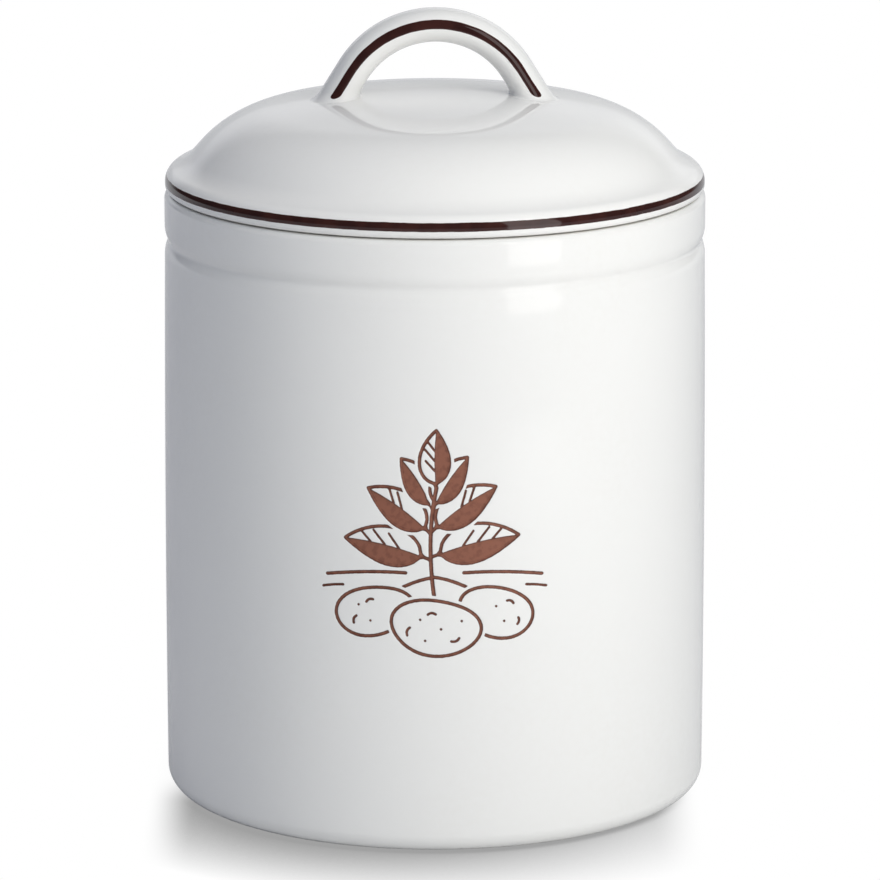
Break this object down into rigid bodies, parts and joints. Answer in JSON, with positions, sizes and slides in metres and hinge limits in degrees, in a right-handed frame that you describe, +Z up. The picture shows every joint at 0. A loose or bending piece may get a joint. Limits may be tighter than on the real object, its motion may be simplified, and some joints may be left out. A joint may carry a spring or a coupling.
{
  "type": "lidded storage crock",
  "caption": "Round glazed crock with a domed lift-off lid, an arched strap handle, a collar groove and dark painted bands.",
  "frame": {"origin": "centre of the foot, on the surface that the jar stands on", "axes": "+Z up along the jar's axis, +X to the right along the handle, -Y towards the viewer"},
  "size_m": [0.191, 0.191, 0.2779],
  "materials": {
    "jar_glaze": "glossy warm white glaze, bare clay on the foot ring",
    "lid_glaze": "glossy warm white glaze with a glossy dark brown band round the edge",
    "handle_glaze": "glossy warm white glaze with a glossy dark brown band along each edge",
    "seal_silicone": "satin translucent white silicone"
  },
  "bodies": {
    "jar": {"jar": "jar_glaze"},
    "seal": {"lid_seal": "seal_silicone"},
    "lid": {"lid": "lid_glaze", "lid_handle": "handle_glaze"}
  },
  "joints": [
    {"name": "lid_lift", "type": "slide", "parent": "jar", "child": "seal", "axis": [0, 0, 1], "range_m": [0, 0.15]},
    {"name": "lid_turn", "type": "hinge", "parent": "seal", "child": "lid", "pos_m": [0, 0, 0.2054], "axis": [0, 0, 1], "continuous": true}
  ]
}
